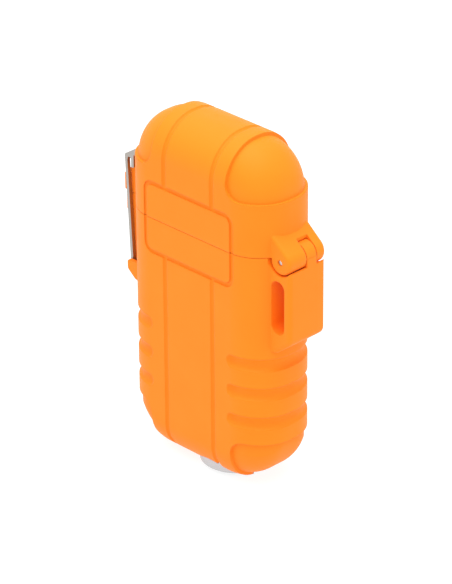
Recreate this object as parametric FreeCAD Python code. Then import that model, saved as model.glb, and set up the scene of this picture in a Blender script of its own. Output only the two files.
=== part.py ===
import os
from math import cos, radians, sin, sqrt

import FreeCAD
import Part

# Pocket waterproof lighter: a rounded body split into a base and a hinged lid,
# held shut by a steel bail. All lengths in millimetres, +Z up, front face to -Y,
# hinge to +X, latch to -X.

V = FreeCAD.Vector
UP = V(0, 0, 1)
ALONG = V(0, 1, 0)

# ---- driving dimensions -------------------------------------------------
half_length = 21.47
half_thick = 9.9
height = 80.5
plan_radius = 9.3
front_radius_top = 12.0
front_radius_low = 12.6
edge_radius_top = 9.3
edge_radius_low = 8.1
part_plane = 56.9
part_gap = 0.1
dome_depth = 0.7

cavity_length = 18.2
cavity_thick = 8.0
cavity_plan = 7.0
cavity_front = 10.3
cavity_edge = 6.6
floor_thick = 2.6
roof_thick = 2.4
liner_thick = 0.95
fit_gap = 0.05

pin_x = 22.8
pin_z = 56.6
pin_radius = 0.62
knuckle_radius = 2.85
outer_x = 25.7
hinge_half = 5.4
knuckle_gap = 0.2
mid_knuckle_low = -0.2
mid_knuckle_high = 2.6
pocket_radius = 3.15
pocket_step = 1.9
step_in = 24.8
slope_angle = 39.0
loop_low = 38.0
loop_plate = 1.65
loop_slot_in = 20.25
loop_slot_low = 39.6
loop_slot_high = 52.05
slot_corner = 1.8

bail_x = -21.5
bail_z = 40.0
bail_pin_radius = 0.6
bail_pin_half = 5.85
bail_inner = 4.4
bail_outer = 5.2
bail_top_x = -24.05
bail_top_z = 66.5
bail_sheet = 0.7
lug_half = 6.2
rib_half = 4.1
guard_half = 3.9

torch_x = 4.4
torch_radius = 8.2
torch_face = 0.9
torch_seat = 5.2

neck_length = 15.5
neck_thick = 6.6
neck_top = 66.5
flange_low = 54.8
flange_top = 56.6
deck_sheet = 0.5
arc_x = -3.2
button_x = 9.4
socket_x = -11.6
lamp_x = 3.9

base_top = part_plane - part_gap / 2
lid_low = part_plane + part_gap / 2

os.makedirs("parts", exist_ok=True)


# ---- helpers ------------------------------------------------------------
def box(x0, x1, y0, y1, z0, z1):
    return Part.makeBox(x1 - x0, y1 - y0, z1 - z0, V(x0, y0, z0))


def cyl_z(x, y, z0, z1, r):
    return Part.makeCylinder(r, z1 - z0, V(x, y, z0), UP)


def cyl_y(x, z, y0, y1, r):
    return Part.makeCylinder(r, y1 - y0, V(x, y0, z), ALONG)


def cone_z(x, y, z0, z1, r0, r1):
    return Part.makeCone(r0, r1, z1 - z0, V(x, y, z0), UP)


def in_xz(u, v, w):
    return V(u, w, v)


def in_xy(u, v, w):
    return V(u, v, w)


def in_yz(u, v, w):
    return V(w, u, v)


def rounded_wire(u0, u1, v0, v1, r, place, w):
    k = r * (1 - sqrt(0.5))
    pts = []
    pts.append(place(u0 + r, v0, w))
    pts.append(place(u1 - r, v0, w))
    pts.append(place(u1 - k, v0 + k, w))
    pts.append(place(u1, v0 + r, w))
    pts.append(place(u1, v1 - r, w))
    pts.append(place(u1 - k, v1 - k, w))
    pts.append(place(u1 - r, v1, w))
    pts.append(place(u0 + r, v1, w))
    pts.append(place(u0 + k, v1 - k, w))
    pts.append(place(u0, v1 - r, w))
    pts.append(place(u0, v0 + r, w))
    pts.append(place(u0 + k, v0 + k, w))
    edges = []
    for i in range(4):
        a = pts[3 * i]
        b = pts[3 * i + 1]
        c = pts[3 * i + 2]
        d = pts[(3 * i + 3) % 12]
        if (b - a).Length > 1e-6:
            edges.append(Part.makeLine(a, b))
        edges.append(Part.Arc(b, c, d).toShape())
    return Part.Wire(edges)


def plate_y(x0, x1, z0, z1, r, y0, y1):
    face = Part.Face(rounded_wire(x0, x1, z0, z1, r, in_xz, y0))
    return face.extrude(V(0, y1 - y0, 0))


def plate_z(x0, x1, y0, y1, r, z0, z1):
    face = Part.Face(rounded_wire(x0, x1, y0, y1, r, in_xy, z0))
    return face.extrude(V(0, 0, z1 - z0))


def poly_y(points, y0, y1):
    pts = [V(x, y0, z) for x, z in points]
    pts.append(pts[0])
    return Part.Face(Part.makePolygon(pts)).extrude(V(0, y1 - y0, 0))


def one(shape):
    shape = shape.removeSplitter()
    if len(shape.Solids) == 1:
        return shape.Solids[0]
    return shape


def form(hx, hy, z0, z1, rf, re, rp):
    """Rounded body: front outline, soft long edges and a rounded plan.

    Where the long edges have the plan's own radius, they round the plan too.
    """
    block = plate_y(-hx, hx, z0, z1, rf, -hy, hy)
    rim = []
    for e in block.Edges:
        if e.BoundBox.YLength < 1e-6:
            rim.append(e)
    block = block.makeFillet(re, rim)
    if abs(re - rp) < 1e-6:
        return one(block)
    plan = plate_z(-hx, hx, -hy, hy, rp, z0 - 1, z1 + 1)
    return one(block.common(plan))


def tube(points, r):
    """Round wire along straight runs joined by tangent arcs."""
    edges = []
    start = points[0]
    for i in range(1, len(points) - 1):
        a = points[i - 1]
        b = points[i]
        c = points[i + 1]
        u = (a - b).normalize()
        w = (c - b).normalize()
        half = 0.5 * u.getAngle(w)
        run = min((a - b).Length, (c - b).Length)
        back_off = 0.45 * run
        bend = back_off * sin(half) / cos(half)
        p = b + u * back_off
        q = b + w * back_off
        inward = (u + w).normalize()
        m = b + inward * (bend / sin(half) - bend)
        edges.append(Part.LineSegment(start, p).toShape())
        edges.append(Part.Arc(p, m, q).toShape())
        start = q
    edges.append(Part.LineSegment(start, points[-1]).toShape())
    path = Part.Wire(edges)
    d = (points[1] - points[0]).normalize()
    ring = Part.Wire([Part.makeCircle(r, points[0], d)])
    pipe = path.makePipeShell([ring], True, False)
    print("wire volume over section times length", pipe.Volume / (3.14159 * r * r * path.Length))
    return pipe


def save(shape, name):
    shape.exportStep("parts/" + name + ".step")
    ok = shape.isValid()
    print(name, "solids", len(shape.Solids), "vol", round(shape.Volume, 2), "valid", ok)


# ---- outer form with its surface detail ---------------------------------
outer_top = form(
    half_length, half_thick, 0, height, front_radius_top, edge_radius_top, plan_radius
)
outer_low = form(
    half_length, half_thick, 0, height, front_radius_low, edge_radius_low, plan_radius
)
inset_top = form(
    half_length - dome_depth,
    half_thick - dome_depth,
    dome_depth,
    height - dome_depth,
    front_radius_top - dome_depth,
    edge_radius_top - dome_depth,
    plan_radius - dome_depth,
)
inset_low = form(
    half_length - dome_depth,
    half_thick - dome_depth,
    dome_depth,
    height - dome_depth,
    front_radius_low - dome_depth,
    edge_radius_low - dome_depth,
    plan_radius - dome_depth,
)

# stepped-back corner domes, top and bottom
dome_top_x = 11.1
dome_top_z = 69.0
dome_low_x = 12.2
dome_low_z = 11.9
dome_corner = 3.5
far = 40.0
zones_top = []
zones_low = []
for s in (-1, 1):
    top = plate_y(dome_top_x, far, dome_top_z, far + height, dome_corner, -far, far)
    low = plate_y(dome_low_x, far, -far, dome_low_z, dome_corner, -far, far)
    if s < 0:
        top = top.mirror(V(0, 0, 0), V(1, 0, 0))
        low = low.mirror(V(0, 0, 0), V(1, 0, 0))
    zones_top.append(top.cut(inset_top))
    zones_low.append(low.cut(inset_low))

# soft vertical band grooves running round the body, broken by the panel
band_x = 7.14
band_half = 0.6
band_deep = 0.4
band_r = (band_half**2 + band_deep**2) / (2 * band_deep)
lift = band_r - band_deep
panel_half = 12.9
panel_low = 49.0
panel_high = 65.25
panel_corner = 2.0
panel_groove = 0.95
panel_deep = 0.35
panel_clear = panel_groove / 2 + 0.01
bands_top = []
bands_low = []
keep = box(-panel_half, panel_half, -far, far, panel_low + 0.1, panel_high - 0.1)


def band(x, radius):
    path = rounded_wire(
        -half_thick - lift,
        half_thick + lift,
        -lift,
        height + lift,
        radius + lift,
        in_yz,
        x,
    )
    start = V(x, half_thick + lift, height / 2)
    ring = Part.Wire([Part.makeCircle(band_r, start, UP)])
    return path.makePipeShell([ring], True, False).cut(keep)


for s in (-1, 1):
    bands_top.append(band(s * band_x, edge_radius_top))
    bands_low.append(band(s * band_x, edge_radius_low))


def panel_ring(y0, y1):
    g = panel_groove / 2
    big = plate_y(
        -panel_half - g,
        panel_half + g,
        panel_low - g,
        panel_high + g,
        panel_corner + g,
        y0,
        y1,
    )
    small = plate_y(
        -panel_half + g,
        panel_half - g,
        panel_low + g,
        panel_high - g,
        panel_corner - g,
        y0 - 1,
        y1 + 1,
    )
    return big.cut(small)


panels = [
    panel_ring(-half_thick - 1, -half_thick + panel_deep),
    panel_ring(half_thick - panel_deep, half_thick + 1),
]
body_top = outer_top.cut(zones_top)
body_top = body_top.cut(bands_top)
body_top = body_top.cut(panels)
body_low = outer_low.cut(zones_low)
body_low = body_low.cut(bands_low)
body_low = body_low.cut(panels)

# ---- grip grooves round both ends ---------------------------------------
grip_first = 17.2
grip_pitch = 7.05
grip_end = 11.35
grip_r = 1.8
grip_out = 0.9
grip_reach = sqrt(grip_r**2 - grip_out**2)
ring_r = plan_radius + grip_out
arc_cx = half_length - plan_radius
arc_cy = half_thick - plan_radius
tip_x = grip_end + grip_reach
lead = (tip_x - arc_cx) / ring_r
sweep = 90.0 - lead * 180.0 / 3.141592653589793
grips = []
for i in range(3):
    z = grip_first + grip_pitch * i
    side = Part.Face(Part.Wire([Part.makeCircle(grip_r, V(half_length + grip_out, 0, z), ALONG)]))
    flat = side.translated(V(0, -arc_cy, 0)).extrude(V(0, 2 * arc_cy, 0))
    back = side.translated(V(0, arc_cy, 0)).revolve(V(arc_cx, arc_cy, z), UP, sweep)
    front = side.translated(V(0, -arc_cy, 0)).revolve(V(arc_cx, -arc_cy, z), UP, -sweep)
    ty = arc_cy + ring_r * sin(radians(sweep))
    tx = arc_cx + ring_r * cos(radians(sweep))
    ball_a = Part.makeSphere(grip_r, V(tx, ty, z))
    ball_b = Part.makeSphere(grip_r, V(tx, -ty, z))
    for piece in (flat, back, front, ball_a, ball_b):
        grips.append(piece)
        grips.append(piece.mirror(V(0, 0, 0), V(1, 0, 0)))

# ---- hollows ------------------------------------------------------------
hollow = form(
    cavity_length,
    cavity_thick,
    floor_thick,
    height - roof_thick,
    cavity_front,
    cavity_edge,
    cavity_plan,
)
liner_in = form(
    cavity_length - liner_thick - fit_gap,
    cavity_thick - liner_thick,
    floor_thick + liner_thick,
    height - roof_thick - liner_thick,
    cavity_front - liner_thick,
    cavity_edge - liner_thick,
    cavity_plan - liner_thick,
)
liner_out = form(
    cavity_length - fit_gap,
    cavity_thick - fit_gap,
    floor_thick + fit_gap,
    height - roof_thick - fit_gap,
    cavity_front - fit_gap,
    cavity_edge - fit_gap,
    cavity_plan - fit_gap,
)
above = box(-far, far, -far, far, lid_low, far + height)
below = box(-far, far, -far, far, -far, base_top)

# ---- hinge blocks -------------------------------------------------------
root_x = cavity_length + 0.4
tan_x = pin_x + knuckle_radius * cos(radians(90 - slope_angle))
tan_z = pin_z + knuckle_radius * sin(radians(90 - slope_angle))
rise = (tan_x - root_x) * sin(radians(slope_angle)) / cos(radians(slope_angle))
corner = 1.1

lid_block = poly_y(
    [
        (root_x, lid_low),
        (root_x, tan_z + rise),
        (tan_x, tan_z),
        (pin_x, pin_z),
        (pin_x, lid_low),
    ],
    -hinge_half,
    hinge_half,
)
lid_barrel = cyl_y(pin_x, pin_z, -hinge_half, hinge_half, knuckle_radius)
lid_hinge = one(lid_block.fuse(lid_barrel))
soft = []
for e in lid_hinge.Edges:
    flat_edge = e.BoundBox.YLength < 1e-6
    outward = e.BoundBox.XMax > pin_x + 0.5
    if flat_edge and outward:
        soft.append(e)
lid_hinge = lid_hinge.makeFillet(0.75, soft)

loop_in = 21.4
loop_foot = 34.6
loop_block = poly_y(
    [
        (root_x, loop_foot),
        (loop_in, loop_foot),
        (outer_x, loop_low),
        (outer_x, pin_z),
        (root_x, pin_z),
    ],
    -hinge_half,
    hinge_half,
)
foot_edges = []
for e in loop_block.Edges:
    bb = e.BoundBox
    if bb.ZLength < 1e-6 and bb.YLength > 5 and bb.XMax > outer_x - 0.1 and bb.ZMax < loop_low + 1:
        foot_edges.append(e)
loop_block = loop_block.makeFillet(1.9, foot_edges)
side_edges = []
for e in loop_block.Edges:
    bb = e.BoundBox
    if bb.YLength < 1e-6 and bb.XMax > loop_in + 0.2 and bb.ZMin < pin_z - 1:
        side_edges.append(e)
print("side edges", len(side_edges))
loop_block = loop_block.makeFillet(corner, side_edges)
slot = plate_y(
    loop_slot_in,
    outer_x - loop_plate,
    loop_slot_low,
    loop_slot_high,
    slot_corner,
    -far,
    far,
)
loop_block = loop_block.cut(slot)
mid_barrel = cyl_y(pin_x, pin_z, mid_knuckle_low, mid_knuckle_high, knuckle_radius)

# the block's outer corner is stepped down beside the middle knuckle
step_low = pin_z - pocket_step
step_near = box(step_in, far, -hinge_half - 0.4, mid_knuckle_low, step_low, pin_z + 5)
step_far = box(step_in, far, mid_knuckle_high, hinge_half + 0.4, step_low, pin_z + 5)
pocket_near = cyl_y(pin_x, pin_z, -hinge_half - 0.4, mid_knuckle_low, pocket_radius)
pocket_far = cyl_y(pin_x, pin_z, mid_knuckle_high, hinge_half + 0.4, pocket_radius)

# ---- latch: lug, rib and guard on the base, catch on the lid -------------
catch_x = -outer_x
guard_x = catch_x + 0.5
rib_x = -23.4
rib_root = -root_x
guard_low = 52.6
nose_x = -22.8
lug_top = 41.6
lug = poly_y(
    [
        (rib_root, 36.9),
        (-20.6, 37.6),
        (nose_x, 39.4),
        (nose_x, lug_top),
        (rib_root, lug_top),
    ],
    -lug_half,
    lug_half,
)
nose_edges = []
for e in lug.Edges:
    bb = e.BoundBox
    if bb.YLength > 10 and bb.XMax < nose_x + 0.1 and bb.ZMax < lug_top - 0.5:
        nose_edges.append(e)
lug = lug.makeFillet(0.9, nose_edges)
top_edges = []
for e in lug.Edges:
    bb = e.BoundBox
    if bb.YLength > 10 and bb.XMax < nose_x + 0.1 and bb.ZMin > lug_top - 0.01:
        top_edges.append(e)
lug = lug.makeFillet(0.6, top_edges)
leg_gap_low = bail_inner - 0.12
leg_gap_high = bail_outer + 0.12
leg_gaps = []
eye_rooms = []
for s in (-1, 1):
    y0 = min(s * leg_gap_low, s * leg_gap_high)
    y1 = max(s * leg_gap_low, s * leg_gap_high)
    leg_gaps.append(box(-far, rib_root - 0.1, y0, y1, 30.0, lug_top + 1))
    eye_rooms.append(cyl_y(bail_x, bail_z, y0, y1, 1.45))
lug = lug.cut(leg_gaps)
rib = poly_y(
    [
        (rib_root, 38.0),
        (-21.6, 38.4),
        (rib_x, 42.0),
        (rib_x, base_top),
        (rib_root, base_top),
    ],
    -rib_half,
    rib_half,
)
guard = poly_y(
    [
        (rib_root, guard_low - 3.0),
        (rib_x, guard_low - (rib_x - guard_x)),
        (guard_x, guard_low),
        (guard_x, base_top),
        (rib_root, base_top),
    ],
    -guard_half,
    guard_half,
)
guard_edges = []
for e in guard.Edges:
    bb = e.BoundBox
    if bb.XMax < guard_x + 0.1 and bb.ZLength > 1:
        guard_edges.append(e)
guard = guard.makeFillet(0.3, guard_edges)

catch_low = 60.6

def ramp_z(x):
    return catch_low + (x - catch_x)


catch = poly_y(
    [
        (rib_root, lid_low),
        (catch_x, lid_low),
        (catch_x, catch_low),
        (-21.0, ramp_z(-21.0)),
        (rib_root, ramp_z(-21.0)),
    ],
    -guard_half,
    guard_half,
)
catch_edges = []
for e in catch.Edges:
    bb = e.BoundBox
    if bb.XMax < catch_x + 0.1 and bb.ZLength > 1:
        catch_edges.append(e)
catch = catch.makeFillet(0.3, catch_edges)
lid_rib = poly_y(
    [
        (rib_root, lid_low),
        (rib_x, lid_low),
        (rib_x, ramp_z(rib_x) - 0.3),
        (-21.0, ramp_z(-21.0) - 0.3),
        (rib_root, ramp_z(-21.0) - 0.3),
    ],
    -rib_half,
    rib_half,
)

# ---- lid shell and liner ------------------------------------------------
mid_slot_low = mid_knuckle_low - knuckle_gap
mid_slot_high = mid_knuckle_high + knuckle_gap
slot_round = cyl_y(pin_x, pin_z, mid_slot_low, mid_slot_high, knuckle_radius + 0.2)
slot_open = box(pin_x - 0.2, far, mid_slot_low, mid_slot_high, pin_z - 5, far + height)
bore_run = pin_radius + 0.03

lid = body_top.common(above)
lid = lid.fuse([lid_hinge, catch, lid_rib])
lid = lid.cut([hollow, slot_round, slot_open])
lid = lid.cut(cyl_y(pin_x, pin_z, -far, far, bore_run))
lid = one(lid)

liner = liner_out.cut(liner_in).common(
    box(-far, far, -far, far, lid_low + 0.3, far + height)
)
liner = one(liner)

# ---- base shell ---------------------------------------------------------
boss_in = 14.4
boss_half = 2.4
boss_low = 46.0
screw_x = 16.8
base = body_low.common(below)
base = base.cut(grips)
base = base.fuse([loop_block, lug, rib, guard])
base = base.cut([hollow, slot] + eye_rooms)
for room in (pocket_near, pocket_far, step_near, step_far):
    base = base.cut(room)
base = base.fuse(mid_barrel)
bosses = []
for s in (-1, 1):
    x0 = min(s * boss_in, s * (cavity_length + 0.2))
    x1 = max(s * boss_in, s * (cavity_length + 0.2))
    bosses.append(box(x0, x1, -boss_half, boss_half, boss_low, flange_low))
base = base.fuse(bosses)
bores = [
    cyl_y(pin_x, pin_z, mid_knuckle_low - 1, mid_knuckle_high + 1, pin_radius),
    cyl_y(bail_x, bail_z, -bail_pin_half, far, bail_pin_radius),
    cyl_z(torch_x, 0, -far, torch_seat, torch_radius + fit_gap),
    cyl_z(screw_x, 0, 49.5, far * 2, 0.6),
    cyl_z(-screw_x, 0, 49.5, far * 2, 0.6),
]
base = base.cut(bores)
base = one(base)

hinge_pin = cyl_y(pin_x, pin_z, -hinge_half + 0.3, hinge_half - 0.3, pin_radius)
bail_pin = cyl_y(bail_x, bail_z, -bail_pin_half + 0.05, bail_pin_half, bail_pin_radius)

# ---- bail ---------------------------------------------------------------
leg_thick = 0.75
leg_foot_x = bail_x - 1.25
plate_in = -21.9
tab_in = -21.35
tab_low = 63.6
eye_r = 1.1
bail_bits = []
for s in (-1, 1):
    y0 = min(s * bail_inner, s * bail_outer)
    y1 = max(s * bail_inner, s * bail_outer)
    leg = poly_y(
        [
            (leg_foot_x, bail_z),
            (bail_top_x, bail_top_z - 0.7),
            (bail_top_x, bail_top_z),
            (bail_top_x + leg_thick + 0.4, bail_top_z),
            (bail_top_x + leg_thick, bail_top_z - 1.6),
            (leg_foot_x + leg_thick, bail_z),
        ],
        y0,
        y1,
    )
    bail_bits.append(leg)
    bail_bits.append(cyl_y(bail_x, bail_z, y0, y1, eye_r))
    tab = plate_y(tab_in - 0.8, tab_in, tab_low, bail_top_z, 0.3, y0, y1)
    bridge = box(bail_top_x + 0.3, tab_in - 0.2, y0, y1, bail_top_z - bail_sheet, bail_top_z)
    bail_bits.append(tab)
    bail_bits.append(bridge)
top_plate = box(
    bail_top_x, plate_in, -bail_outer, bail_outer, bail_top_z - bail_sheet, bail_top_z
)
front_fold = box(
    bail_top_x, bail_top_x + bail_sheet, -bail_outer, bail_outer, bail_top_z - 1.5, bail_top_z
)
bail = bail_bits[0].fuse(bail_bits[1:] + [top_plate, front_fold])
bail = one(bail)
fold_edges = []
for e in bail.Edges:
    bb = e.BoundBox
    on_top = bb.ZMin > bail_top_z - 1e-3
    on_front = bb.XMax < bail_top_x + 1e-3
    if on_top and on_front and bb.YLength > 5:
        fold_edges.append(e)
print("fold edges", len(fold_edges))
bail = bail.makeFillet(0.55, fold_edges)
bail = bail.cut(cyl_y(bail_x, bail_z, -far, far, bail_pin_radius + 0.04))
bail = one(bail)

# ---- neck, seal, deck ---------------------------------------------------
neck_wall = 1.2
neck_plan = 5.6
neck_body = plate_z(
    -neck_length, neck_length, -neck_thick, neck_thick, neck_plan, flange_low, neck_top
)
top_rim = []
for e in neck_body.Edges:
    if abs(e.BoundBox.ZMin - neck_top) < 1e-4:
        top_rim.append(e)
neck_body = neck_body.makeFillet(1.0, top_rim)
flange = plate_z(
    -cavity_length + 0.1,
    cavity_length - 0.1,
    -cavity_thick + 0.1,
    cavity_thick - 0.1,
    cavity_plan - 0.1,
    flange_low,
    flange_top,
)
neck = neck_body.fuse(flange)
neck_in = plate_z(
    -neck_length + neck_wall,
    neck_length - neck_wall,
    -neck_thick + neck_wall,
    neck_thick - neck_wall,
    neck_plan - neck_wall,
    flange_low - 1,
    neck_top - neck_wall,
)
deck_holes = [
    cyl_z(arc_x, 0, 60, 80, 3.95),
    cyl_z(button_x, 0, 60, 80, 3.2),
    cyl_z(lamp_x, 0, 60, 80, 0.65),
    plate_z(socket_x - 1.65, socket_x + 1.65, -4.55, 4.55, 1.5, 60, 80),
]
screw_cuts = []
for s in (-1, 1):
    screw_cuts.append(cyl_z(s * screw_x, 0, flange_low - 1, 60, 0.65))
    screw_cuts.append(cyl_z(s * screw_x, 0, flange_top - 0.9, flange_top, 1.1))
neck = neck.cut([neck_in] + deck_holes)
neck = one(neck.cut(screw_cuts))

seal_top = flange_top + 0.6
seal = plate_z(
    -cavity_length + 0.3,
    cavity_length - 0.3,
    -cavity_thick + 0.2,
    cavity_thick - 0.2,
    cavity_plan - 0.3,
    flange_top,
    seal_top,
)
seal = one(
    seal.cut(
        plate_z(
            -neck_length - 0.02,
            neck_length + 0.02,
            -neck_thick - 0.02,
            neck_thick + 0.02,
            neck_plan,
            flange_top - 1,
            seal_top + 1,
        )
    )
)

sheet_top = neck_top + deck_sheet
sheet = plate_z(
    -neck_length + 1.1, neck_length - 1.1, -neck_thick + 1.1, neck_thick - 1.1, 4.4, neck_top, sheet_top
)
sheet = one(sheet.cut(deck_holes))

screw_bits = []
for s in (-1, 1):
    shank = cyl_z(s * screw_x, 0, 50.2, flange_top - 0.9, 0.6)
    head = cyl_z(s * screw_x, 0, flange_top - 0.9, flange_top - 0.1, 1.05)
    notch = box(s * screw_x - 2, s * screw_x + 2, -0.16, 0.16, flange_top - 0.4, flange_top)
    cross = box(s * screw_x - 0.16, s * screw_x + 0.16, -2, 2, flange_top - 0.4, flange_top)
    screw_bits.append(head.fuse(shank).cut([notch, cross]).Solids[0])
deck_screws = Part.makeCompound(screw_bits)

# ---- arc head -----------------------------------------------------------
rod_off = 1.6
rod_r = 0.55
rod_low = 58.4
rod_top = 71.4
board_low = 59.2
board_top = 60.2
arc_low = 60.9
disc_top = sheet_top + 0.9
arc_head = cyl_z(arc_x, 0, arc_low, sheet_top, 3.9).fuse(
    cyl_z(arc_x, 0, sheet_top, disc_top, 4.4)
)
arc_rim = []
for e in arc_head.removeSplitter().Edges:
    if abs(e.BoundBox.ZMin - disc_top) < 1e-4:
        arc_rim.append(e)
arc_head = arc_head.removeSplitter().makeFillet(0.35, arc_rim)
rods = []
sleeves = []
rod_holes = []
for sx in (-1, 1):
    for sy in (-1, 1):
        x = arc_x + sx * rod_off
        y = sy * rod_off
        rod = cyl_z(x, y, rod_low, rod_top - rod_r, rod_r)
        tip = Part.makeSphere(rod_r, V(x, y, rod_top - rod_r))
        rods.append(one(rod.fuse(tip)))
        rod_holes.append(cyl_z(x, y, rod_low - 2, rod_top + 2, rod_r))
        collar = cone_z(x, y, disc_top, disc_top + 1.7, 1.15, 0.9)
        sleeves.append(collar.cut(cyl_z(x, y, disc_top - 1, disc_top + 3, rod_r)).Solids[0])
arc_head = one(arc_head.cut(rod_holes))
electrodes = Part.makeCompound(rods)
electrode_sleeves = Part.makeCompound(sleeves)

# ---- power button and switch --------------------------------------------
cap_top = sheet_top + 0.7
cap = cyl_z(button_x, 0, 64.3, cap_top, 3.1)
cap_rim = []
for e in cap.Edges:
    if abs(e.BoundBox.ZMin - cap_top) < 1e-4:
        cap_rim.append(e)
cap = cap.makeFillet(0.5, cap_rim)
skirt = cyl_z(button_x, 0, 64.3, 65.2, 3.7)
stem = cyl_z(button_x, 0, 63.0, 64.3, 1.3)
dish_r = 14.0
dish = Part.makeSphere(dish_r, V(button_x, 0, cap_top + dish_r - 0.25))
power_button = one(cap.fuse([skirt, stem]).cut(dish))

switch_body = plate_z(button_x - 2.25, button_x + 2.25, -2.25, 2.25, 0.3, board_top, 62.0)
switch_tip = cyl_z(button_x, 0, 62.0, 62.55, 1.0)
tact_switch = one(switch_body.fuse(switch_tip))

# ---- upper board, charging socket, status lamp --------------------------
board_holes = []
for sx in (-1, 1):
    for sy in (-1, 1):
        x = arc_x + sx * rod_off
        y = sy * rod_off
        board_holes.append(cyl_z(x, y, board_low - 1, board_top + 1, 0.8))
top_board = plate_z(-14.1, 14.1, -5.2, 5.2, 4.0, board_low, board_top)
top_board = one(top_board.cut(board_holes))

socket_half_x = 1.58
socket_half_y = 4.47
can = plate_z(
    socket_x - socket_half_x,
    socket_x + socket_half_x,
    -socket_half_y,
    socket_half_y,
    1.4,
    board_top,
    sheet_top,
)
can_in = plate_z(
    socket_x - socket_half_x + 0.3,
    socket_x + socket_half_x - 0.3,
    -socket_half_y + 0.3,
    socket_half_y - 0.3,
    1.15,
    board_top + 0.9,
    sheet_top + 1,
)
charge_socket = one(can.cut(can_in))
charge_tongue = box(
    socket_x - 0.35, socket_x + 0.35, -3.3, 3.3, board_top + 0.9, sheet_top - 0.6
)
status_lamp = one(
    cyl_z(lamp_x, 0, 61.1, sheet_top, 0.6).fuse(
        box(lamp_x - 0.8, lamp_x + 0.8, -0.8, 0.8, board_top, 61.1)
    )
)

# ---- chassis, battery, boards -------------------------------------------
web = 0.6
frame_low = 13.0
frame_high = 45.6
pcb_near = 2.4
pcb_far = 3.4
chassis = box(-17.2, 17.2, -web, web, frame_low, frame_high)
chassis_bits = []
posts = []
for s in (-1, 1):
    x0 = min(s * 16.2, s * 17.2)
    x1 = max(s * 16.2, s * 17.2)
    chassis_bits.append(box(x0, x1, -3.6, 3.6, frame_low, frame_high))
    x0 = min(s * 8.6, s * 13.8)
    x1 = max(s * 8.6, s * 13.8)
    chassis_bits.append(box(x0, x1, -web, web, frame_high - 1, board_low))
    for z in (27.0, 47.5):
        chassis_bits.append(cyl_y(s * 12.0, z, web - 0.2, pcb_near, 1.3))
        posts.append(cyl_y(s * 12.0, z, 0.0, 5.0, 0.5))
shelf = plate_z(-15.0, 15.0, -6.0, 6.0, 3.0, frame_low - 1.0, frame_low)
chassis_bits.append(shelf)
lead_x = 7.0
lead_pitch = 2.4
lead_y = 2.9
shelf_holes = [
    cyl_z(lead_x, lead_y, 5, 20, 0.6),
    cyl_z(lead_x + lead_pitch, lead_y, 5, 20, 0.6),
]
chassis = chassis.fuse(chassis_bits)
chassis = one(chassis.cut(shelf_holes + posts))

cell_near = -7.3
cell_far = -1.0
cell = plate_z(-13.2, 13.2, cell_near, cell_far, 1.6, 14.0, 43.0)
tape = box(-10.5, 10.5, -5.2, -3.0, 43.0, 44.0)
battery = one(cell.fuse(tape))
battery_pad = box(-9.0, 9.0, -cavity_thick + 0.02, cell_near, 18.0, 40.0)

pcb = plate_y(-14.0, 14.0, 24.5, 50.0, 1.5, pcb_near, pcb_far)
main_board = one(pcb.cut(posts))
chips = [
    box(-4.0, 1.0, pcb_far, 4.4, 36.0, 41.0),
    box(4.5, 8.5, pcb_far, 4.6, 41.0, 45.0),
    box(-9.5, -6.5, pcb_far, 4.9, 30.0, 34.5),
    cyl_y(6.0, 31.5, pcb_far, 6.4, 2.6),
    box(0.5, 2.1, pcb_far, 4.1, 44.8, 45.6),
    box(-7.5, -5.9, pcb_far, 4.1, 43.0, 43.8),
    box(-1.0, 0.6, pcb_far, 4.1, 30.5, 31.3),
]
board_parts = Part.makeCompound(chips)

pcb_screw_bits = []
for s in (-1, 1):
    for z in (27.0, 47.5):
        head = cyl_y(s * 12.0, z, pcb_far, pcb_far + 0.7, 1.0)
        shank = cyl_y(s * 12.0, z, 0.4, pcb_far, 0.5)
        notch = box(s * 12.0 - 0.15, s * 12.0 + 0.15, pcb_far + 0.35, 9, z - 2, z + 2)
        pcb_screw_bits.append(head.fuse(shank).cut(notch).Solids[0])
board_screws = Part.makeCompound(pcb_screw_bits)

converter = plate_z(-10.0, 2.5, web, 7.0, 0.8, frame_low, 23.5)
hv_converter = one(converter)

# ---- wires --------------------------------------------------------------
hv_r = 0.5
hv_end = 23.5
wires = []
near_y = -rod_off
far_y = rod_off
for s in (-1, 1):
    x = arc_x + s * rod_off
    wires.append(cyl_z(x, far_y, hv_end, rod_low, hv_r))
    path = [
        V(x, near_y, rod_low),
        V(x, near_y, rod_low - 3.4),
        V(x + s * 1.6, far_y, 49.0),
        V(x + s * 1.6, far_y, hv_end),
    ]
    wires.append(tube(path, hv_r))
hv_leads = Part.makeCompound(wires)

cell_wires = []
for x in (2.2, 4.7):
    path = [
        V(x, -4.1, 44.0),
        V(x, -4.1, 47.6),
        V(x, pcb_near, 47.6),
    ]
    cell_wires.append(tube(path, 0.45))
battery_leads = Part.makeCompound(cell_wires)

torch_board_low = 10.2
torch_board_top = 11.2
lamp_wires = []
for i in range(2):
    lamp_wires.append(cyl_z(lead_x + i * lead_pitch, lead_y, torch_board_top, 24.5, 0.4))
torch_leads = Part.makeCompound(lamp_wires)

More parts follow.
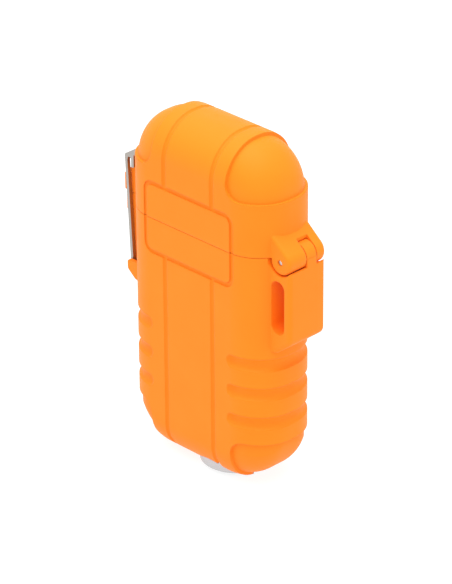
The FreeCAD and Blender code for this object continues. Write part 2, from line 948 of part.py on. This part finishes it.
# ---- torch at the bottom ------------------------------------------------
bezel_in = torch_radius - 0.7
lip_in = bezel_in - 0.45
bezel = cyl_z(torch_x, 0, torch_face, torch_seat, torch_radius)
bezel_rim = []
for e in bezel.Edges:
    if abs(e.BoundBox.ZMax - torch_face) < 1e-4:
        bezel_rim.append(e)
bezel = bezel.makeFillet(0.35, bezel_rim)
bezel = bezel.cut(
    [
        cyl_z(torch_x, 0, torch_face + 0.5, torch_seat + 1, bezel_in),
        cone_z(torch_x, 0, torch_face - 0.5, torch_face + 0.5, lip_in + 0.4, lip_in),
    ]
)
lens_bezel = one(bezel)
lens = cyl_z(torch_x, 0, torch_face + 0.5, torch_face + 2.1, bezel_in - fit_gap)
crown_r = 90.0
crown = Part.makeSphere(crown_r, V(torch_x, 0, torch_face + 0.15 + crown_r))
crown = crown.common(cyl_z(torch_x, 0, torch_face - 1, torch_face + 0.8, lip_in - fit_gap))
torch_lens = one(lens.fuse(crown))
gasket_low = torch_face + 2.1
gasket_top = gasket_low + 0.6
lens_gasket = one(
    cyl_z(torch_x, 0, gasket_low, gasket_top, bezel_in - fit_gap).cut(
        cyl_z(torch_x, 0, gasket_low - 1, gasket_top + 1, lip_in - 0.4)
    )
)
shell_cone = cone_z(torch_x, 0, torch_seat - 0.1, torch_board_low, 6.7, 3.6)
shell_rim = cyl_z(torch_x, 0, gasket_top, torch_seat - 0.1, bezel_in - fit_gap)
bowl_low = cone_z(torch_x, 0, gasket_top, 5.6, lip_in - 0.4, 5.6)
bowl_mid = cone_z(torch_x, 0, 5.6, 8.0, 5.6, 3.4)
bowl_top = cone_z(torch_x, 0, 8.0, 9.2, 3.4, 2.5)
throat = cyl_z(torch_x, 0, 9.0, torch_board_low, 2.5)
reflector = one(shell_cone.fuse(shell_rim).cut([bowl_low, bowl_mid, bowl_top, throat]))
torch_board = cyl_z(torch_x, 0, torch_board_low, torch_board_top, 6.8)
emitter_base = box(torch_x - 1.7, torch_x + 1.7, -1.7, 1.7, 9.7, torch_board_low)
emitter_dome = Part.makeSphere(1.3, V(torch_x, 0, 9.7))
emitter_dome = emitter_dome.common(box(0, 20, -5, 5, 8.0, 9.7))
emitter = one(emitter_base.fuse(emitter_dome))

# ---- files --------------------------------------------------------------
save(lid, "lid_shell")
save(liner, "lid_liner")
save(base, "base_shell")
save(hinge_pin, "hinge_pin")
save(bail, "bail")
save(bail_pin, "bail_pin")
save(neck, "neck")
save(seal, "lid_seal")
save(sheet, "deck_plate")
save(deck_screws, "deck_screws")
save(arc_head, "arc_head")
save(electrodes, "electrodes")
save(electrode_sleeves, "electrode_sleeves")
save(power_button, "power_button")
save(tact_switch, "tact_switch")
save(top_board, "top_board")
save(charge_socket, "charge_socket")
save(charge_tongue, "charge_tongue")
save(status_lamp, "status_lamp")
save(chassis, "chassis")
save(battery, "battery")
save(battery_pad, "battery_pad")
save(main_board, "main_board")
save(board_parts, "board_parts")
save(board_screws, "board_screws")
save(hv_converter, "hv_converter")
save(hv_leads, "hv_leads")
save(battery_leads, "battery_leads")
save(torch_leads, "torch_leads")
save(lens_bezel, "lens_bezel")
save(torch_lens, "torch_lens")
save(lens_gasket, "lens_gasket")
save(reflector, "reflector")
save(torch_board, "torch_board")
save(emitter, "torch_emitter")
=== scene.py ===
import math

import bmesh
import bpy
from mathutils import Matrix, Vector


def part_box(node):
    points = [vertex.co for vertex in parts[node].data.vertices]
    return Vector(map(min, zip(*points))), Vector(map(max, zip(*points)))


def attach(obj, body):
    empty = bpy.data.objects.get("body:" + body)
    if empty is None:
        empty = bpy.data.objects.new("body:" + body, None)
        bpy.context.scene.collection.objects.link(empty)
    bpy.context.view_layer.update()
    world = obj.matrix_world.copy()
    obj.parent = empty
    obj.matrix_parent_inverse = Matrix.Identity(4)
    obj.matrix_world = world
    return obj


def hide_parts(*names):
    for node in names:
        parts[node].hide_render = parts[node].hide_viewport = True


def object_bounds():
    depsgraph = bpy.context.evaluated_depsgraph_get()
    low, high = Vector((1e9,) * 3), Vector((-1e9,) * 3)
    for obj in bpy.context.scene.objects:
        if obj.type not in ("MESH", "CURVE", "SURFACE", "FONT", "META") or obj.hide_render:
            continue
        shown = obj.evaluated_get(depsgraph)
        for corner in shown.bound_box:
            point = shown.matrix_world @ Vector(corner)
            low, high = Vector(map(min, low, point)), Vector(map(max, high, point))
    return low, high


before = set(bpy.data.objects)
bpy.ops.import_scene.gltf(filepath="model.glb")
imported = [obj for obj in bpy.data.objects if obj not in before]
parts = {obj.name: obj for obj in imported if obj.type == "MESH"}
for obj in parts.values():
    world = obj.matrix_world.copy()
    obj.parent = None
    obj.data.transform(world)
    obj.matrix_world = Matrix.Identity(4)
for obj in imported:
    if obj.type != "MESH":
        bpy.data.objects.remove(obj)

# %% [markdown]
# A pocket lighter with a torch in its foot. Its hard parts already exist as an exact
# frame, so this lesson gives them their surfaces, models the optics that a plain solid
# can't show, and sets up a small white studio. The frame's box is kept first, and the
# table is later set just below it.

# %% The frame and its box
cad_box = [[float(v) for v in corner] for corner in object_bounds()]
MM = 0.001
print("frame box", cad_box)
print("parts in the frame", len(parts))

# %% [markdown]
# The camera comes first, because everything else is judged through it. A long lens far
# away keeps upright edges nearly parallel, as a product table does. The direction is an
# azimuth round the object and an elevation above the table. The aim is a little beside
# the middle of the body, and a very small roll finishes it.

# %% Camera
VIEW_AZIMUTH = math.radians(45.46)
VIEW_ELEVATION = math.radians(27.63)
VIEW_ROLL = math.radians(-0.434)
VIEW_DISTANCE = 794.1 * MM
LENS_MM = 228.1
AIM_HEIGHT = 40.0 * MM
AIM_RIGHT = 0.916 * MM
AIM_DOWN = 0.429 * MM


def view_axes(azimuth, elevation, roll):
    level = math.cos(elevation)
    back = Vector((math.sin(azimuth) * level, -math.cos(azimuth) * level, math.sin(elevation)))
    right = Vector((math.cos(azimuth), math.sin(azimuth), 0.0))
    up = back.cross(right)
    turned = right * math.cos(roll) + up * math.sin(roll)
    return turned, back.cross(turned), back


right, up, back = view_axes(VIEW_AZIMUTH, VIEW_ELEVATION, VIEW_ROLL)
aim = Vector((0, 0, AIM_HEIGHT)) + right * AIM_RIGHT - up * AIM_DOWN
camera_data = bpy.data.cameras.new("studio_camera")
camera_data.lens = LENS_MM
camera_data.sensor_width = 36.0
camera_data.clip_start = 0.05
camera_data.clip_end = 20.0
camera = bpy.data.objects.new("studio_camera", camera_data)
bpy.context.scene.collection.objects.link(camera)
turn = Matrix((right, up, back)).transposed().to_4x4()
camera.matrix_world = Matrix.Translation(aim + back * VIEW_DISTANCE) @ turn
bpy.context.scene.camera = camera
print("camera at", [round(v, 4) for v in camera.location])

# %% [markdown]
# Long chains of Math nodes are slow to write by hand. A small class wraps a socket, and
# Python's own operators add the nodes: grain * 0.3 + 0.5 becomes two Math nodes. Any
# other node comes from one method that takes its type, its settings and its inputs.

# %% Shader sockets as expressions


class Flow:
    """A shader socket that Python arithmetic can be done on."""

    def __init__(self, tree, socket):
        self.tree = tree
        self.socket = socket

    def math(self, operation, *others):
        node = self.tree.nodes.new("ShaderNodeMath")
        node.operation = operation
        for slot, value in zip(node.inputs, (self,) + others):
            if isinstance(value, Flow):
                self.tree.links.new(value.socket, slot)
            else:
                slot.default_value = value
        return Flow(self.tree, node.outputs[0])

    def __add__(self, other):
        return self.math("ADD", other)

    def __mul__(self, other):
        return self.math("MULTIPLY", other)

    def __sub__(self, other):
        return self.math("SUBTRACT", other)

    def __rsub__(self, other):
        return (self * -1.0) + other

    def above(self, level):
        return self.math("GREATER_THAN", level)

    def clamp(self):
        return self.math("MAXIMUM", 0.0).math("MINIMUM", 1.0)


class Finish:
    """A material with its node tree, and one way to add any node to it."""

    def __init__(self, name):
        self.material = bpy.data.materials.new(name)
        self.material.use_nodes = True
        self.tree = self.material.node_tree
        self.shader = self.tree.nodes["Principled BSDF"]
        self.place = self.node("ShaderNodeTexCoord", {}, {}, "Object")

    def node(self, kind, settings, values, out=0):
        made = self.tree.nodes.new(kind)
        for key, value in settings.items():
            if key == "stops":
                ramp = made.color_ramp
                for i, (position, colour) in enumerate(value):
                    stop = ramp.elements[i] if i < 2 else ramp.elements.new(position)
                    stop.position = position
                    stop.color = colour
            else:
                setattr(made, key, value)
        for key, value in values.items():
            if isinstance(value, Flow):
                self.tree.links.new(value.socket, made.inputs[key])
            else:
                made.inputs[key].default_value = value
        return Flow(self.tree, made.outputs[out])

    def set(self, **values):
        for key, value in values.items():
            slot = self.shader.inputs[key.replace("_", " ")]
            if isinstance(value, Flow):
                self.tree.links.new(value.socket, slot)
            else:
                slot.default_value = value

    def noise(self, size_mm, detail=3.0, stretch=(1, 1, 1)):
        scale = tuple(s / (size_mm * MM) for s in stretch)
        place = self.node("ShaderNodeMapping", {}, {"Vector": self.place, "Scale": scale})
        values = {"Vector": place, "Scale": 1.0, "Detail": detail}
        return self.node("ShaderNodeTexNoise", {}, values, "Fac")

    def blend(self, factor, a, b):
        return self.node("ShaderNodeMix", {"data_type": "RGBA"}, {0: factor, 6: a, 7: b}, 2)

    def relief(self, height, depth_mm, strength=1.0, base=None):
        values = {"Height": height, "Distance": depth_mm * MM, "Strength": strength}
        if base is not None:
            values["Normal"] = base
        return self.node("ShaderNodeBump", {}, values)

    def soft_edges(self, radius_mm):
        return self.node("ShaderNodeBevel", {"samples": 6}, {"Radius": radius_mm * MM})


# %% [markdown]
# The case is moulded in a bright orange resin with a soft-touch skin. That skin scatters
# most of the light, has a very fine grain and hardly any gloss, and moulding leaves faint
# cloudy differences in it. Colour and roughness drift over a few millimetres, the grain
# is a shallow bump, and the Bevel node rounds the tool's sharp edges, which no mould
# leaves knife-sharp.

# %% Soft-touch orange case


def soft_touch(name, colour, deep):
    f = Finish(name)
    cloud = f.noise(9.0, 4.0)
    fine = f.noise(0.16, 2.0)
    grain = f.noise(0.055, 2.0)
    f.set(
        Base_Color=f.blend((cloud - 0.5) * 1.6 + 0.5, colour, deep),
        Roughness=cloud * 0.08 + fine * 0.06 + 0.5,
        Normal=f.relief(grain * 0.6 + fine * 0.4, 0.006, 0.5, f.soft_edges(0.4)),
    )
    f.shader.inputs["Specular IOR Level"].default_value = 0.18
    f.shader.inputs["Sheen Weight"].default_value = 0.05
    f.shader.inputs["Sheen Roughness"].default_value = 0.4
    return f.material


case_orange = soft_touch("case_soft_touch", (0.97, 0.232, 0.0065, 1), (0.965, 0.218, 0.005, 1))


# %% [markdown]
# The inner mouldings are plain filled plastic: dark, spark-eroded, and a little glossier
# where the tool was polished. One recipe serves them all, with its own colour and grain.

# %% Moulded plastics


def moulded(name, colour, rough, grain_mm=0.25, depth_mm=0.012):
    f = Finish(name)
    spark = f.noise(grain_mm, 3.0)
    cloud = f.noise(6.0, 2.0)
    lighter = tuple(min(1.0, c * 1.35 + 0.004) for c in colour[:3]) + (1,)
    f.set(
        Base_Color=f.blend(spark * 0.7 + cloud * 0.3, colour, lighter),
        Roughness=spark * 0.12 + (rough - 0.06),
        Normal=f.relief(spark, depth_mm, 0.5, f.soft_edges(0.12)),
    )
    return f.material


black_moulding = moulded("black_moulding", (0.018, 0.018, 0.02, 1), 0.5)
frame_moulding = moulded("frame_moulding", (0.16, 0.16, 0.17, 1), 0.55)
gloss_black = moulded("component_black", (0.02, 0.02, 0.021, 1), 0.32, 0.12, 0.004)
seal_orange = moulded("seal_silicone", (0.9, 0.2, 0.01, 1), 0.6, 0.5, 0.01)
seal_rubber = moulded("seal_rubber", (0.035, 0.035, 0.036, 1), 0.72, 0.5, 0.01)
foam_black = moulded("foam_open_cell", (0.05, 0.05, 0.052, 1), 0.9, 0.35, 0.08)
wire_sleeve = moulded("wire_sleeve_red", (0.42, 0.02, 0.016, 1), 0.45, 0.8, 0.004)
fired_ceramic = moulded("fired_ceramic", (0.82, 0.8, 0.74, 1), 0.3, 0.4, 0.004)
lamp_cap = moulded("lamp_cap", (0.62, 0.68, 0.85, 1), 0.25, 0.6, 0.002)
phosphor = moulded("emitter_phosphor", (0.85, 0.66, 0.12, 1), 0.4, 0.2, 0.003)
white_mask = moulded("white_solder_mask", (0.75, 0.75, 0.73, 1), 0.35, 0.5, 0.003)

# %% [markdown]
# Steel that was rolled and then tumbled keeps fine lines along its length and a slightly
# uneven gloss. Noise that is stretched along one axis gives the lines. They change the
# roughness and a very shallow bump, so the highlight breaks up as it does on real strip.

# %% Metals


def rolled_metal(name, colour, rough, stretch, line_mm=0.08, depth_mm=0.003):
    f = Finish(name)
    lines = f.noise(line_mm, 3.0, stretch)
    wear = f.noise(2.5, 4.0)
    tint = tuple(c * 0.82 for c in colour[:3]) + (1,)
    f.set(
        Base_Color=f.blend(wear * 0.6 + lines * 0.4, colour, tint),
        Roughness=(lines * 0.16 + wear * 0.12 + (rough - 0.14)).clamp(),
        Normal=f.relief(lines, depth_mm, 0.5, f.soft_edges(0.1)),
    )
    f.shader.inputs["Metallic"].default_value = 1.0
    return f.material


bail_steel = rolled_metal("bail_steel", (0.44, 0.41, 0.375, 1), 0.4, (1, 1, 0.04))
pin_steel = rolled_metal("pin_steel", (0.62, 0.6, 0.58, 1), 0.3, (1, 0.05, 1))
deck_steel = rolled_metal("deck_brushed_steel", (0.42, 0.42, 0.43, 1), 0.36, (0.04, 1, 1))
electrode_metal = rolled_metal("electrode_metal", (0.34, 0.32, 0.3, 1), 0.42, (1, 1, 0.1))
ring_chrome = rolled_metal("ring_chrome", (0.6, 0.6, 0.61, 1), 0.24, (1, 1, 0.3), 0.3, 0.001)
bowl_mirror = rolled_metal("bowl_mirror", (0.92, 0.92, 0.93, 1), 0.17, (1, 1, 1), 0.6, 0.004)
cell_foil = rolled_metal("cell_foil", (0.72, 0.73, 0.75, 1), 0.38, (0.2, 1, 1), 0.6, 0.03)

# %% [markdown]
# A circuit board is glass cloth under a green film, with copper tracks that show as
# slightly lighter, raised lines. A band pattern gives parallel tracks, and noise breaks
# them up so that they start and end.

# %% Circuit board


def circuit_board(name, colour, track):
    f = Finish(name)
    upright = (math.radians(90), 0, 0)
    flat = f.node("ShaderNodeMapping", {}, {"Vector": f.place, "Rotation": upright})
    lanes = f.node(
        "ShaderNodeTexWave",
        {"wave_type": "BANDS", "bands_direction": "X"},
        {"Vector": flat, "Scale": 320.0, "Distortion": 1.5, "Detail": 0.0},
        "Fac",
    )
    broken = f.noise(4.0, 1.0)
    mask = lanes.above(0.72) * broken.above(0.5)
    f.set(
        Base_Color=f.blend(mask, colour, track),
        Roughness=0.32 - mask * 0.06,
        Normal=f.relief(mask, 0.03, 0.4),
    )
    return f.material


board_green = circuit_board("board_green", (0.012, 0.10, 0.035, 1), (0.03, 0.2, 0.07, 1))

# %% [markdown]
# The lens is clear polycarbonate. Transmission makes it glass-like, and a faint moulding
# ripple in the roughness keeps it from looking like a perfect optic.

# %% Clear lens


def clear_plastic(name):
    f = Finish(name)
    ripple = f.noise(3.0, 2.0)
    f.set(
        Base_Color=f.blend(ripple, (0.96, 0.98, 1.0, 1), (0.92, 0.95, 0.97, 1)),
        Roughness=ripple * 0.05 + 0.03,
        Normal=f.relief(ripple, 0.004, 0.3),
    )
    f.shader.inputs["Transmission Weight"].default_value = 0.95
    f.shader.inputs["IOR"].default_value = 1.49
    return f.material


lens_clear = clear_plastic("lens_clear")

# %% [markdown]
# Each part gets its finish by name. A CAD solid arrives as loose triangles, which would
# shade as facets. A small Geometry Nodes modifier merges the triangles as they are drawn
# and shades every edge smooth that turns by less than thirty degrees, so the stored mesh
# stays as it is.

# %% Smooth shading for the frame
SHARP_ANGLE = math.radians(30)


def smooth_group():
    group = bpy.data.node_groups.new("merge_and_smooth", "GeometryNodeTree")
    group.interface.new_socket("Geometry", in_out="INPUT", socket_type="NodeSocketGeometry")
    group.interface.new_socket("Geometry", in_out="OUTPUT", socket_type="NodeSocketGeometry")
    start = group.nodes.new("NodeGroupInput")
    end = group.nodes.new("NodeGroupOutput")
    merge = group.nodes.new("GeometryNodeMergeByDistance")
    merge.inputs["Distance"].default_value = 1e-6
    faces = group.nodes.new("GeometryNodeSetShadeSmooth")
    faces.domain = "FACE"
    edges = group.nodes.new("GeometryNodeSetShadeSmooth")
    edges.domain = "EDGE"
    angle = group.nodes.new("GeometryNodeInputMeshEdgeAngle")
    gentle = group.nodes.new("FunctionNodeCompare")
    gentle.data_type = "FLOAT"
    gentle.operation = "LESS_THAN"
    gentle.inputs[1].default_value = SHARP_ANGLE
    link = group.links.new
    link(start.outputs[0], merge.inputs["Geometry"])
    link(merge.outputs[0], faces.inputs["Geometry"])
    link(faces.outputs[0], edges.inputs["Geometry"])
    link(angle.outputs["Unsigned Angle"], gentle.inputs[0])
    link(gentle.outputs[0], edges.inputs["Shade Smooth"])
    link(edges.outputs[0], end.inputs[0])
    return group


smoother = smooth_group()
finish_of = {
    "lid_shell": case_orange,
    "base_shell": case_orange,
    "lid_liner": black_moulding,
    "neck": black_moulding,
    "power_button": black_moulding,
    "chassis": frame_moulding,
    "hinge_pin": pin_steel,
    "bail_pin": pin_steel,
    "deck_screws": pin_steel,
    "board_screws": pin_steel,
    "charge_socket": pin_steel,
    "bail": bail_steel,
    "deck_plate": deck_steel,
    "electrodes": electrode_metal,
    "arc_head": fired_ceramic,
    "electrode_sleeves": fired_ceramic,
    "lid_seal": seal_orange,
    "lens_gasket": seal_rubber,
    "battery_pad": foam_black,
    "battery": cell_foil,
    "tact_switch": gloss_black,
    "charge_tongue": gloss_black,
    "board_parts": gloss_black,
    "hv_converter": gloss_black,
    "main_board": board_green,
    "top_board": board_green,
    "torch_board": white_mask,
    "hv_leads": wire_sleeve,
    "battery_leads": wire_sleeve,
    "torch_leads": wire_sleeve,
    "status_lamp": lamp_cap,
    "torch_emitter": phosphor,
    "lens_bezel": ring_chrome,
    "reflector": bowl_mirror,
    "torch_lens": lens_clear,
}
for name, part in parts.items():
    part.data.materials.clear()
    part.data.materials.append(finish_of[name])
    modifier = part.modifiers.new("merge_and_smooth", "NODES")
    modifier.node_group = smoother
print("finished parts", len(finish_of))

# %% [markdown]
# The torch's lens is a turned shape, so it is drawn as half a section and spun. The
# real lens has a small raised eye and fine rings that spread the beam, and the reflector
# is a smooth bowl. A spin needs the section's edges, an axis and a number of steps.

# %% Turned pieces


def spun(name, outline, axis_x, steps=96):
    shape = bmesh.new()
    verts = [shape.verts.new((axis_x + r * MM, 0.0, z * MM)) for r, z in outline]
    edges = [shape.edges.new(pair) for pair in zip(verts, verts[1:])]
    bmesh.ops.spin(
        shape,
        geom=verts + edges,
        cent=(axis_x, 0, 0),
        axis=(0, 0, 1),
        angle=2 * math.pi,
        steps=steps,
        use_merge=True,
    )
    bmesh.ops.remove_doubles(shape, verts=shape.verts, dist=1e-7)
    bmesh.ops.recalc_face_normals(shape, faces=shape.faces)
    for face in shape.faces:
        face.smooth = True
    for edge in shape.edges:
        if len(edge.link_faces) == 2 and edge.calc_face_angle() > SHARP_ANGLE:
            edge.smooth = False
    mesh = bpy.data.meshes.new(name)
    shape.to_mesh(mesh)
    shape.free()
    piece = bpy.data.objects.new(name, mesh)
    bpy.context.scene.collection.objects.link(piece)
    print(name, "faces", len(mesh.polygons))
    return piece


def centre_of(node):
    low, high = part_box(node)
    return (low[0] + high[0]) / 2


# %% The lens with its eye and rings
lens_low, lens_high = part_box("torch_lens")
lens_x = centre_of("torch_lens")
lens_r = (lens_high[0] - lens_low[0]) / 2 / MM
face_z = lens_low[2] / MM
seat_z = face_z + 0.65
top_z = lens_high[2] / MM
RING_PITCH = 0.7
RING_MARGIN = 1.2
section = [(0.0, face_z), (1.2, face_z + 0.02), (1.7, face_z + 0.16)]
ring = 2.2
while ring < lens_r - RING_MARGIN:
    section.append((ring, face_z + 0.12))
    section.append((ring + 0.35, face_z + 0.22))
    section.append((ring + 0.42, face_z + 0.13))
    ring += RING_PITCH
lip_r = lens_r - 0.48
section += [(lip_r - 0.1, face_z + 0.3), (lip_r, seat_z), (lens_r, seat_z), (lens_r, top_z), (0.0, top_z)]
lens_moulded = spun("torch_lens_moulded", section, lens_x)
lens_moulded.data.materials.append(lens_clear)
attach(lens_moulded, "base")
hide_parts("torch_lens")

# %% [markdown]
# The studio is a light table, an even white surround and one large soft light overhead.
# The surround fills the sides and the light above lifts the tops. The table glows evenly
# by itself, so it stays white under the object and lights the rounded foot from below.

# %% Studio
TABLE_HALF = 3.0
TABLE_GAP = 0.2 * MM
TABLE_GLOW = 0.85
SURROUND = 1.08
table_shape = bmesh.new()
bmesh.ops.create_grid(table_shape, x_segments=1, y_segments=1, size=TABLE_HALF)
table_mesh = bpy.data.meshes.new("studio_table")
table_shape.to_mesh(table_mesh)
table_shape.free()
table = bpy.data.objects.new("studio_table", table_mesh)
bpy.context.scene.collection.objects.link(table)
table.location.z = cad_box[0][2] - TABLE_GAP
paper = Finish("table_paper")
fibre = paper.noise(2.0, 4.0)
paper.set(
    Base_Color=paper.blend(fibre, (0.25, 0.25, 0.25, 1), (0.24, 0.24, 0.242, 1)),
    Roughness=fibre * 0.1 + 0.8,
)
paper.shader.inputs["Specular IOR Level"].default_value = 0.1
paper.shader.inputs["Emission Color"].default_value = (1, 1, 1, 1)
paper.shader.inputs["Emission Strength"].default_value = TABLE_GLOW
table.data.materials.append(paper.material)

world = bpy.data.worlds.new("white_surround")
bpy.context.scene.world = world
world.use_nodes = True
world.node_tree.nodes["Background"].inputs["Color"].default_value = (1, 1, 1, 1)
world.node_tree.nodes["Background"].inputs["Strength"].default_value = SURROUND


def soft_light(name, at, target, size, power):
    data = bpy.data.lights.new(name, "AREA")
    data.shape = "SQUARE"
    data.size = size
    data.energy = power
    lamp = bpy.data.objects.new(name, data)
    bpy.context.scene.collection.objects.link(lamp)
    direction = Vector(target) - Vector(at)
    lamp.rotation_euler = direction.to_track_quat("-Z", "Y").to_euler()
    lamp.location = at
    return lamp


soft_light("overhead_soft", (0.0, -0.1, 1.1), (0, 0, 0.04), 1.1, 11.0)
bpy.context.scene.view_settings.view_transform = "Standard"
